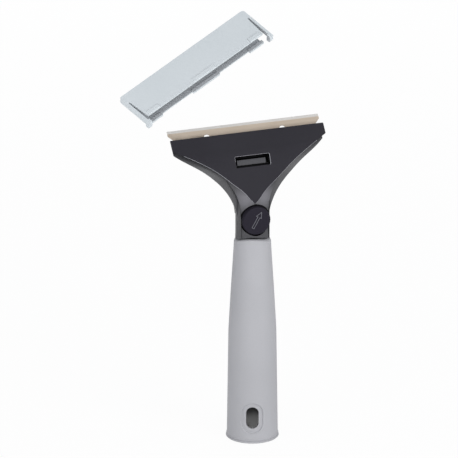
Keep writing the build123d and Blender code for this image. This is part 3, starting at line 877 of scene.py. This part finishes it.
@dataclass
class Head:
    """The two jaws, dressed from their solids.

    The roundings are in metres and the places in millimetres. A depth is counted behind the V face, and a
    half or a reach from the middle plane. The fields forward, half_forward and sideways are limits of a
    face's normal. The fields for the depth, foot, half and top of the highlight bound the V face's edges that
    get a painted highlight, and those that begin with rim bound the window's rims that don't.
    """

    edge_round: float = 0.0002
    highlight_width: float = 0.0003
    blunt_angle: float = 42.0
    forward: float = -0.3
    sideways: float = 0.3
    half_forward: float = -0.5
    recess_radius: float = 10.1
    face_depth: float = 0.08
    face_foot: float = 155.4
    lobe_top: float = 176.0
    back_from: float = 0.5
    back_top: float = 155.0
    window_half: float = 11.6
    window_low: float = 178.4
    window_high: float = 185.6
    window_depth: float = 0.1
    highlight_depth: float = 0.03
    highlight_foot: float = 155.2
    highlight_half: float = 49.2
    highlight_top: float = 190.0
    rim_half: float = 12.0
    rim_right: float = 10.0
    rim_low: float = 177.0
    rim_high: float = 184.0
    pocket_low: float = 176.0
    pocket_high: float = 186.5
    pocket_depth: float = 6.2
    pocket_reach: float = 14.0
    lug_depth: float = 3.5

    def build(self) -> None:
        """Makes both jaws with rounded edges and sets their finishes."""
        self.front_jaw()
        self.rear_jaw()

    def front_jaw(self) -> None:
        """Front jaw: a matt V face with a painted highlight along its edges, satin lobes below it with a
        painted highlight near the apex, and painted shade in the recess, in the window and low at the back.
        """
        finishes = (Finish.PLATE, Finish.LOBES, Finish.DARK_SHADE, Finish.EDGE, Finish.FLANK)
        plate, lobe, recess_shade, edge, flank = range(len(finishes))
        mesh = merged_copy("front_jaw", "clamp_plate")
        jaw = new_piece("clamp_plate", mesh, "jaw", *finishes)
        centres, normals = face_values(mesh, "center") / MM, face_values(mesh, "normal")
        across, depth, height = centres.T
        behind = np.abs(FacePlane().offset(centres))
        off_face = (behind > self.face_depth) | (height < self.face_foot)
        on_lobes = (normals[:, 1] < self.forward) & off_face & (height < self.lobe_top)
        in_window = (np.abs(across) < self.window_half) & between(height, self.window_low, self.window_high)
        in_recess = np.hypot(across, height - SCREW_HEIGHT) < self.recess_radius
        at_back = (depth > self.back_from) & (height < self.back_top)
        # Painted shade: the recess, the window's walls and the lower back get a near-black colour.
        in_shade = in_recess | (in_window & (behind > self.window_depth)) | at_back
        at_side = (np.abs(normals[:, 0]) > self.sideways) & (normals[:, 1] > self.half_forward) & ~in_window
        kinds = np.select([at_side, in_shade, on_lobes], [flank, recess_shade, lobe], default=plate)
        mesh.polygons.foreach_set("material_index", kinds.astype(np.int32))
        self.mark_highlight_edges(mesh)
        # The V face's edges are rounded in a pale strip, a painted highlight.
        soften(jaw, self.highlight_width, SHARP_ANGLE, strip=edge)
        jaw.modifiers["edge_round"].limit_method = "WEIGHT"
        jaw.modifiers["edge_round"].use_clamp_overlap = False
        jaw.modifiers["edge_round"].name = "edge_highlight"
        soften(jaw, self.edge_round, self.blunt_angle)
        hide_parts("front_jaw")

    def mark_highlight_edges(self, mesh: bpy.types.Mesh) -> None:
        """Marks the sharp edges of the V face whose rounding gets a painted highlight.

        Such an edge is sharp and has both ends in the face's plane, above the lobes' foot. The top
        edge, the edges at both ends and the window's left and lower rims are left out.

        Args:
            mesh: the front jaw's mesh.
        """
        places = np.empty(len(mesh.vertices) * 3)
        mesh.vertices.foreach_get("co", places)
        places = places.reshape(-1, 3) / MM
        ends = np.empty(len(mesh.edges) * 2, dtype=np.int32)
        mesh.edges.foreach_get("vertices", ends)
        ends = ends.reshape(-1, 2)
        on_face = np.abs(FacePlane().offset(places)) < self.highlight_depth
        in_plane = on_face & (places[:, 2] > self.highlight_foot)
        sharp = np.zeros(len(mesh.edges), dtype=bool)
        smooth(mesh, SHARP_ANGLE)
        mesh.attributes["sharp_edge"].data.foreach_get("value", sharp)
        across, _, height = places[ends].mean(axis=1).T
        outer = (np.abs(across) > self.highlight_half) | (height > self.highlight_top)
        at_rim = between(height, self.rim_low, self.rim_high)
        rim_without_highlight = at_rim & between(across, -self.rim_half, self.rim_right)
        highlighted = in_plane[ends].all(axis=1) & sharp & ~outer & ~rim_without_highlight
        weights = mesh.attributes.new("bevel_weight_edge", "FLOAT", "EDGE")
        weights.data.foreach_set("value", highlighted.astype(np.float32))

    def rear_jaw(self) -> None:
        """Rear jaw: satin all over, with painted shade in the pocket round the lug behind the window."""
        finishes = (Finish.HEAD, Finish.DARK_SHADE, Finish.LUG)
        satin, pocket_shade, lug = range(len(finishes))
        mesh = merged_copy("rear_jaw", "rear_frame")
        jaw = new_piece("rear_frame", mesh, "handle", *finishes)
        centres = face_values(mesh, "center") / MM
        across, _, height = centres.T
        behind = FacePlane().offset(centres)
        in_window = (np.abs(across) < self.window_half) & between(height, self.pocket_low, self.pocket_high)
        on_lug = in_window & (behind < self.lug_depth)
        in_pocket = in_window & (behind < self.pocket_depth) & (face_reach(mesh) < self.pocket_reach)
        # Painted shade: the pocket behind the window gets a near-black colour.
        kinds = np.select([on_lug, in_pocket], [lug, pocket_shade], default=satin)
        mesh.polygons.foreach_set("material_index", kinds.astype(np.int32))
        soften(jaw, self.edge_round, SHARP_ANGLE)
        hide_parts("rear_jaw")


@dataclass
class Knob:
    """The clamp knob, in millimetres: ribbed rim, dished face and a pointer of raised lines.

    A profile is carried round the clamp screw. On the rim's rows the radius dips between ribs by the
    square of half of one less the cosine of the ribs' angle. The pointer's line is a low ridge whose
    outline is moved out and in by mitred offsets. Its section has a flat top, whose half width is a
    share of the foot's, and its foot sinks into the face.
    """

    radius: float = 9.1
    face: float = -8.2
    thickness: float = 3.9
    rim_round: float = 0.5
    back_bevel: float = 0.3
    bevel_ribs: float = 0.6
    bush_radius: float = 4.0
    ribs: int = 48
    rib_depth: float = 0.22
    dish: float = 0.25
    dish_radius: float = 7.7
    line_half: float = 0.2
    line_top: float = 0.8
    line_rise: float = 0.16
    line_sink: float = 0.4
    stem_half: float = 0.75
    stem_foot: float = -5.2
    stem_top: float = 2.6
    tip_half: float = 1.9
    tip_top: float = 6.2
    turn: float = 30.0
    dish_rows: int = 8
    rim_rows: int = 5
    rib_columns: int = 8

    def floor(self, reach: np.ndarray) -> np.ndarray:
        """Depth of the dished face, which rises with the fourth power of the reach to the dish's edge."""
        return self.face + self.dish * (1 - np.clip(reach / self.dish_radius, 0.0, 1.0) ** 4)

    def spun(self, reach: np.ndarray, depth: np.ndarray, angle: np.ndarray) -> np.ndarray:
        """Points at a reach from the screw, a depth along it and an angle from straight up.

        Args:
            reach: distance from the screw's axis.
            depth: place along the axis.
            angle: angle in radians.

        Returns:
            The points.
        """
        return np.stack([reach * np.sin(angle), depth, SCREW_HEIGHT + reach * np.cos(angle)], axis=-1)

    def body(self) -> bpy.types.Mesh:
        """Works out the knob.

        Returns:
            Its closed mesh.
        """
        inner = np.linspace(0.0, self.dish_radius, self.dish_rows)
        bend = np.linspace(0.0, math.pi / 2, self.rim_rows)
        out = self.radius - self.rim_round + self.rim_round * np.sin(bend)
        rounded = self.face + self.rim_round * (1 - np.cos(bend))
        back = self.face + self.thickness
        side = np.linspace(self.face + self.rim_round, back - self.back_bevel, self.rim_rows + 1)[1:]
        closing = [self.radius - self.back_bevel, self.bush_radius, 0.0]
        reach = np.concatenate([inner, out, np.full(self.rim_rows, self.radius), closing])
        depth = np.concatenate([self.floor(inner), rounded, side, np.full(len(closing), back)])
        growing = np.linspace(0.0, 1.0, self.rim_rows)
        closing_ribs = [self.bevel_ribs, 0.0, 0.0]
        ribbed = np.concatenate([np.zeros(self.dish_rows), growing, np.ones(self.rim_rows), closing_ribs])
        angle = np.linspace(0.0, 2 * math.pi, self.ribs * self.rib_columns, endpoint=False)
        dip = (0.5 - 0.5 * np.cos(self.ribs * angle)) ** 2
        reaches = reach[:, None] - self.rib_depth * ribbed[:, None] * dip[None, :]
        depths = np.repeat(depth[:, None], len(angle), axis=1)
        surface = Surface()
        points = self.spun(reaches, depths, np.tile(angle, (len(reach), 1)))
        surface.skin(surface.place(points), columns_close=True)
        return surface.mesh("knob_body")

    def pointer(self) -> bpy.types.Mesh:
        """Works out the pointer's raised outline.

        Returns:
            Its closed mesh.
        """
        stem, tip, shoulder = self.stem_half, self.tip_half, self.stem_top
        outline = np.array([
            (-stem, self.stem_foot), (stem, self.stem_foot), (stem, shoulder), (tip, shoulder),
            (0.0, self.tip_top), (-tip, shoulder), (-stem, shoulder),
        ])
        ahead = np.roll(outline, -1, axis=0) - outline
        ahead /= np.linalg.norm(ahead, axis=1, keepdims=True)
        normal = np.stack([ahead[:, 1], -ahead[:, 0]], axis=1)
        mitre = normal + np.roll(normal, 1, axis=0)
        mitre /= (mitre * normal).sum(axis=1, keepdims=True)
        shift = np.array([1.0, self.line_top, -self.line_top, -1.0]) * self.line_half
        rise = np.array([-self.line_sink, self.line_rise, self.line_rise, -self.line_sink])
        flat = outline[None, :, :] + shift[:, None, None] * mitre[None, :, :]
        cosine, sine = math.cos(math.radians(self.turn)), math.sin(math.radians(self.turn))
        across = flat[..., 0] * cosine + flat[..., 1] * sine
        up = flat[..., 1] * cosine - flat[..., 0] * sine
        depth = self.floor(np.hypot(across, up)) - rise[:, None]
        surface = Surface()
        points = np.stack([across, depth, SCREW_HEIGHT + up], axis=-1)
        surface.skin(surface.place(points), rows_close=True, columns_close=True)
        return surface.mesh("knob_pointer")


@dataclass
class Clamp:
    """The clamp screw's knob, bush, ring, washer and stud."""

    def build(self) -> None:
        """Makes the knob and its pointer and finishes the inner pieces."""
        knob = new_piece("knob_body", Knob().body(), "knob", Finish.KNOB)
        smooth(knob.data, SKIN_ANGLE)
        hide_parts("clamp_knob")
        pointer = new_piece("knob_pointer", Knob().pointer(), "knob", Finish.PAINT)
        repaint("knob_insert", Finish.BRASS)
        repaint("retaining_ring", Finish.STEEL)
        repaint("clamp_stud", Finish.STEEL)
        repaint("thrust_washer", Finish.WASHER)


@dataclass
class Blade:
    """The ground steel blade, which leans as the head's upper face does."""

    lean: float = FacePlane.bend
    forward: float = 0.5
    upward: float = 0.1

    def build(self) -> None:
        """Dresses the blade and marks its ground edge, whose faces look forward and up the blade."""
        mesh = merged_copy("blade", "steel_blade")
        blade = new_piece("steel_blade", mesh, "scraper_blade", Finish.BLADE, Finish.BEVEL)
        normals = face_values(mesh, "normal")
        cosine, sine = math.cos(math.radians(self.lean)), math.sin(math.radians(self.lean))
        front = np.array([0.0, -cosine, sine])
        along = np.array([0.0, sine, cosine])
        ground = (normals @ front > self.forward) & (normals @ along > self.upward)
        mesh.polygons.foreach_set("material_index", ground.astype(np.int32))
        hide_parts("blade")


@dataclass
class Cover:
    """The blade cover that lies off the tool."""

    edge_round: float = 0.00025

    def build(self) -> None:
        """Dresses the cover, with painted shade, a darker copy of its silver, where a face looks towards its
        middle.
        """
        mesh = merged_copy("blade_cover", "cover_shell")
        cover = new_piece("cover_shell", mesh, "cover", Finish.COVER, Finish.COVER_SHADE)
        centres, normals = face_values(mesh, "center"), face_values(mesh, "normal")
        middle = (centres.min(axis=0) + centres.max(axis=0)) / 2
        inward = ((middle - centres) * normals).sum(axis=1) > 0.0
        mesh.polygons.foreach_set("material_index", inward.astype(np.int32))
        soften(cover, self.edge_round, SHARP_ANGLE)
        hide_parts("blade_cover")


@dataclass(frozen=True)
class Lamp:
    """A square soft lamp that faces a point: its place and side in metres, its power in watts."""

    name: str
    place: tuple[float, float, float]
    side: float
    power: float

    def hang(self, aim: tuple[float, float, float]) -> None:
        """Hangs the lamp and turns it.

        Args:
            aim: the point that it faces.
        """
        data = bpy.data.lights.new(self.name, "AREA")
        data.size = self.side
        data.energy = self.power
        lamp = bpy.data.objects.new(self.name, data)
        bpy.context.scene.collection.objects.link(lamp)
        lamp.location = self.place
        lamp.rotation_euler = (Vector(aim) - Vector(self.place)).to_track_quat("-Z", "Y").to_euler()


@dataclass
class Studio:
    """Floor, lights and camera.

    The scale is in pixels of the photograph to a millimetre and the origin's place in its pixels.
    The angles are in degrees and all other lengths in metres, apart from the sensor's millimetres.
    """

    scale: float = 1.6
    image: float = 458.0
    origin_across: float = 252.4
    origin_down: float = 435.25
    azimuth: float = -20.0
    elevation: float = 20.0
    distance: float = 7.0
    aim_forward: float = 0.03
    sensor: float = 36.0
    near: float = 0.1
    far: float = 60.0
    floor_radius: float = 2.5
    floor_corners: int = 96
    floor_white: float = 0.94
    sky_strength: float = 0.5
    lamps_aim: tuple[float, float, float] = (0.0, 0.0, 0.13)
    lamps: tuple[Lamp, ...] = (
        Lamp("key", place=(0.48, -1.1, 0.45), side=0.8, power=6.9),
        Lamp("fill", place=(-0.9, -0.75, 0.3), side=0.8, power=5.0),
        Lamp("top", place=(0.0, -0.3, 1.2), side=1.2, power=1.5),
        Lamp("back", place=(0.35, 1.1, 0.5), side=0.8, power=3.0),
    )

    def build(self) -> None:
        """Sets the floor, the world, the lights and the camera."""
        self.floor()
        self.world()
        for lamp in self.lamps:
            lamp.hang(self.lamps_aim)
        self.camera()

    def floor(self) -> None:
        """Lays a round pale floor that shows white to the camera."""
        turn = np.linspace(0.0, 2 * math.pi, self.floor_corners, endpoint=False)
        circle = np.stack([np.cos(turn), np.sin(turn), np.zeros(self.floor_corners)], axis=1)
        mesh = bpy.data.meshes.new("floor")
        mesh.from_pydata((circle * self.floor_radius).tolist(), [], [list(range(self.floor_corners))])
        floor = bpy.data.objects.new("floor", mesh)
        bpy.context.scene.collection.objects.link(floor)
        material, tree, shader = start_material("floor_white")
        shader.inputs["Base Color"].default_value = linear(250, 250, 250)
        shader.inputs["Roughness"].default_value = 0.9
        shader.inputs["Specular IOR Level"].default_value = 0.1
        output = tree.nodes["Material Output"]
        self.white_when_seen(tree, shader.outputs["BSDF"], output, "ShaderNodeEmission", self.floor_white)
        mesh.materials.append(material)

    def world(self) -> None:
        """Even pale surroundings that show white to the camera and in reflections."""
        world = bpy.data.worlds.new("surround")
        world.use_nodes = True
        bpy.context.scene.world = world
        tree = world.node_tree
        plain = tree.nodes["Background"]
        plain.inputs["Color"].default_value = linear(250, 252, 255)
        plain.inputs["Strength"].default_value = self.sky_strength
        output = tree.nodes["World Output"]
        self.white_when_seen(tree, plain.outputs["Background"], output, "ShaderNodeBackground", 1.0)

    def white_when_seen(
        self,
        tree: bpy.types.NodeTree,
        plain: bpy.types.NodeSocket,
        output: bpy.types.Node,
        kind: str,
        share: float,
    ) -> None:
        """Shows white to camera, glossy and transmission rays, and the plain shader to all others.

        Args:
            tree: the nodes of the material or the world.
            plain: the shader that other rays meet.
            output: the output node.
            kind: the type of the white shader's node.
            share: how much of what is seen is white; the rest is the plain shader, with its shadows.
        """
        path = tree.nodes.new("ShaderNodeLightPath")
        seen = path.outputs["Is Camera Ray"]
        for ray in ("Is Glossy Ray", "Is Transmission Ray"):
            either = tree.nodes.new("ShaderNodeMath")
            either.operation = "MAXIMUM"
            tree.links.new(seen, either.inputs[0])
            tree.links.new(path.outputs[ray], either.inputs[1])
            seen = either.outputs[0]
        part = tree.nodes.new("ShaderNodeMath")
        part.operation = "MULTIPLY"
        part.inputs[1].default_value = share
        tree.links.new(seen, part.inputs[0])
        white = tree.nodes.new(kind)
        white.inputs["Strength"].default_value = 1.0
        white.inputs["Color"].default_value = (1.0, 1.0, 1.0, 1.0)
        mix = tree.nodes.new("ShaderNodeMixShader")
        tree.links.new(part.outputs[0], mix.inputs[0])
        tree.links.new(plain, mix.inputs[1])
        tree.links.new(white.outputs[0], mix.inputs[2])
        tree.links.new(mix.outputs[0], output.inputs["Surface"])

    def camera(self) -> None:
        """Sets a long lens far off at the photograph's angle.

        The picture's middle is the origin moved across and up by the pixels that lie between them.
        """
        turn, rise = math.radians(self.azimuth), math.radians(self.elevation)
        back = Vector((math.sin(turn) * math.cos(rise), -math.cos(turn) * math.cos(rise), math.sin(rise)))
        right = Vector((math.cos(turn), math.sin(turn), 0.0))
        up = back.cross(right)
        middle = self.image / 2
        across = (middle - self.origin_across) / self.scale * MM
        above = (self.origin_down - middle) / self.scale * MM
        aim = right * across + up * above + back * self.aim_forward
        data = bpy.data.cameras.new("camera")
        data.sensor_width = self.sensor
        data.lens = self.sensor * self.distance / (self.image / self.scale * MM)
        data.clip_start = self.near
        data.clip_end = self.far
        camera = bpy.data.objects.new("camera", data)
        bpy.context.scene.collection.objects.link(camera)
        camera.location = aim + back * self.distance
        camera.rotation_euler = Matrix((right, up, back)).transposed().to_euler()
        bpy.context.scene.camera = camera


def main() -> None:
    """Builds the scraper's sub-assemblies, then the studio."""
    logging.basicConfig(level=logging.INFO, format="%(name)s %(message)s")
    bpy.context.scene.view_settings.view_transform = "Standard"
    for part in (Handle(), Head(), Clamp(), Blade(), Cover(), Studio()):
        part.build()
    bpy.context.view_layer.update()


if __name__ == "__main__":
    main()
